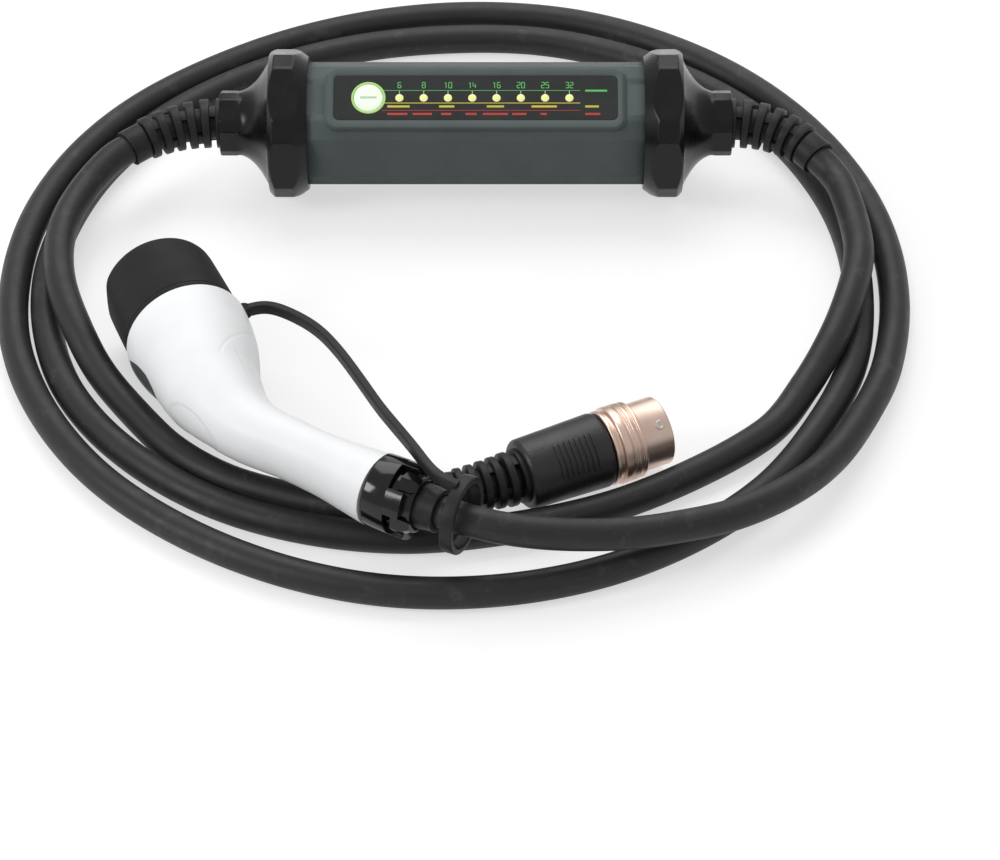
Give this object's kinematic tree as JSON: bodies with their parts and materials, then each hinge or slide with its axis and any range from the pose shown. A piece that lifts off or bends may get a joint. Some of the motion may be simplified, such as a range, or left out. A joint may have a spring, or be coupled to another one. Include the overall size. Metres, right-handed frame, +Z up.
{
  "type": "portable vehicle charger",
  "caption": "Portable vehicle charger: hexagonal control box with display, coiled output cord with capped vehicle connector, short lead with round bayonet plug.",
  "frame": {"origin": "on the floor under the middle of the control box", "axes": "+X along the control box to the end with the output cord, +Y away from the display side, +Z up"},
  "size_m": [0.5057, 0.5247, 0.0866],
  "materials": {
    "body_grey": "satin",
    "overlay_dark": "satin film",
    "ring_green": "gloss",
    "button_white": "gloss",
    "lens_warm": "translucent",
    "board_green": "matte",
    "component_black": "matte",
    "coil_yellow": "matte",
    "moulding_black": "gloss",
    "rubber_black": "matte",
    "shell_white": "satin",
    "insert_black": "matte",
    "contact_silver": "plated",
    "plug_black": "fine texture",
    "ring_rose": "satin plated",
    "contact_gold": "plated",
    "spring_steel": "plain",
    "cord_black": "matte"
  },
  "bodies": {
    "charger": {"housing": "body_grey", "display_frame": "body_grey", "display_overlay": "overlay_dark", "button_ring": "ring_green", "led_lenses": "lens_warm", "display_board": "board_green", "tact_switch": "component_black", "main_board": "board_green", "power_relays": "component_black", "current_transformer": "coil_yellow", "supply_module": "component_black", "end_cap_left": "moulding_black", "end_cap_right": "moulding_black", "cap_seal_left": "rubber_black", "cap_seal_right": "rubber_black", "cord_grips": "component_black", "strain_relief_left": "rubber_black", "strain_relief_right": "rubber_black", "connector_shell_upper": "shell_white", "connector_shell_lower": "shell_white", "connector_nose": "insert_black", "power_contacts": "contact_silver", "signal_contacts": "contact_silver", "nose_seal": "rubber_black", "cap_strap": "rubber_black", "strap_ring": "rubber_black", "gland_nut": "moulding_black", "gland_bush": "rubber_black", "plug_body": "plug_black", "plug_relief": "rubber_black", "plug_barrel": "ring_rose", "contact_insert": "insert_black", "plug_contacts": "contact_gold", "snap_ring": "spring_steel", "output_cord": "cord_black", "supply_cord": "cord_black"},
    "button": {"select_button": "button_white"},
    "cap": {"dust_cap": "rubber_black"},
    "coupling": {"coupling_ring": "ring_rose", "bayonet_pins": "ring_rose"}
  },
  "joints": [
    {"name": "select_press", "type": "slide", "parent": "charger", "child": "button", "axis": [0, 0.5, -0.866], "range_m": [0, 0.0008], "stiffness_N_per_m": 700},
    {"name": "cap_pull", "type": "slide", "parent": "charger", "child": "cap", "axis": [-0.3711, 0.9279, -0.0349], "range_m": [0, 0.05]},
    {"name": "coupling_turn", "type": "hinge", "parent": "charger", "child": "coupling", "pos_m": [0.0242, -0.2789, 0.0213], "axis": [0.8965, 0.4431, 0], "continuous": true}
  ]
}
